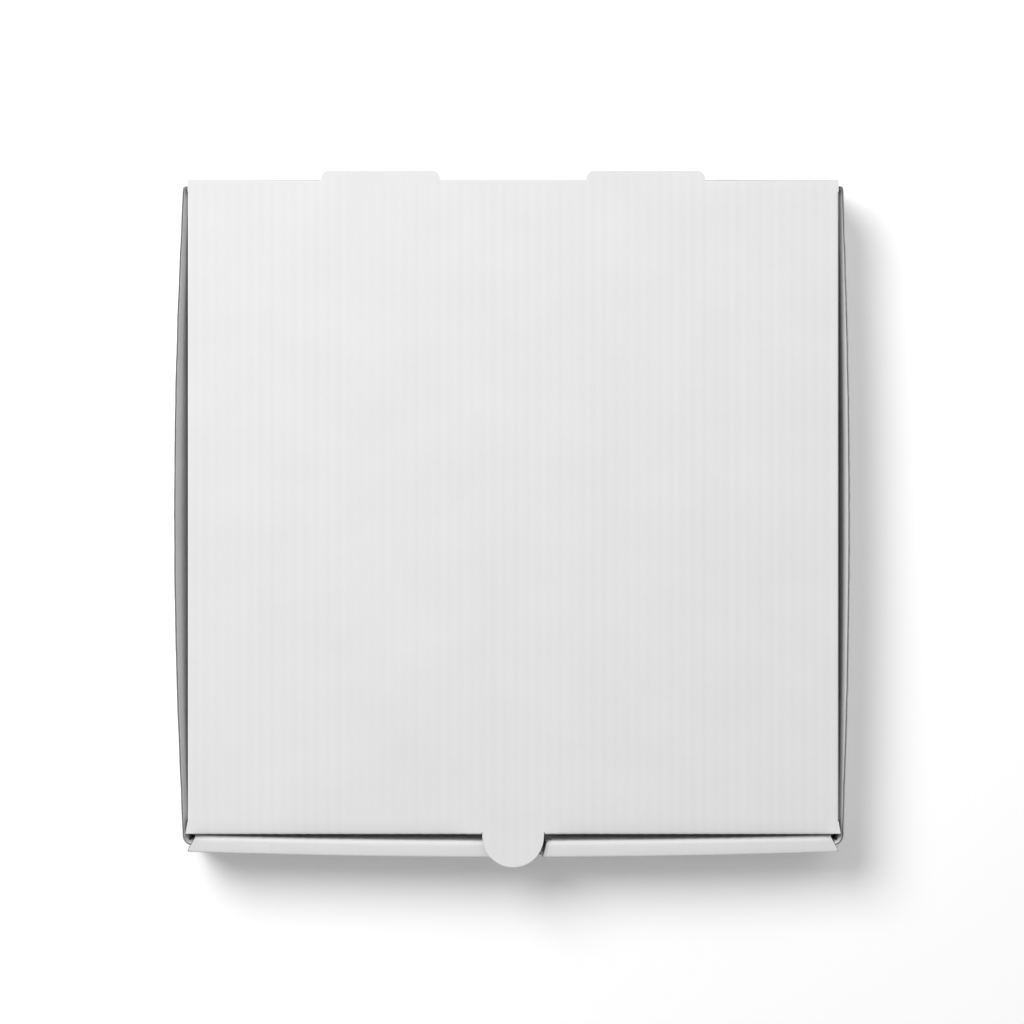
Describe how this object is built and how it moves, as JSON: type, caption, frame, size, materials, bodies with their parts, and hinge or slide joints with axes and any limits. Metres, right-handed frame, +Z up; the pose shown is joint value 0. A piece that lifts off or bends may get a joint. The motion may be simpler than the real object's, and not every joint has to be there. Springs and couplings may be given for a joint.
{
  "type": "pizza box",
  "caption": "Shallow square pizza box folded from white corrugated board: bowed tray with a rolled front wall, and a hinged lid with a tuck flap and thumb tab.",
  "frame": {"origin": "middle of the outline, on the floor under the base", "axes": "+Z up, the front with the thumb tab faces -Y, the hinge is at +Y, +X is to the right seen from the front"},
  "size_m": [0.3981, 0.4087, 0.045],
  "materials": {
    "board": "uncoated white paper face, matt"
  },
  "bodies": {
    "tray": {"tray": "board"},
    "lid": {"lid": "board"}
  },
  "joints": [
    {"name": "lid_hinge", "type": "hinge", "parent": "tray", "child": "lid", "pos_m": [0, 0.1978, 0.0435], "axis": [-1, 0, 0], "range_deg": [0, 180]}
  ]
}
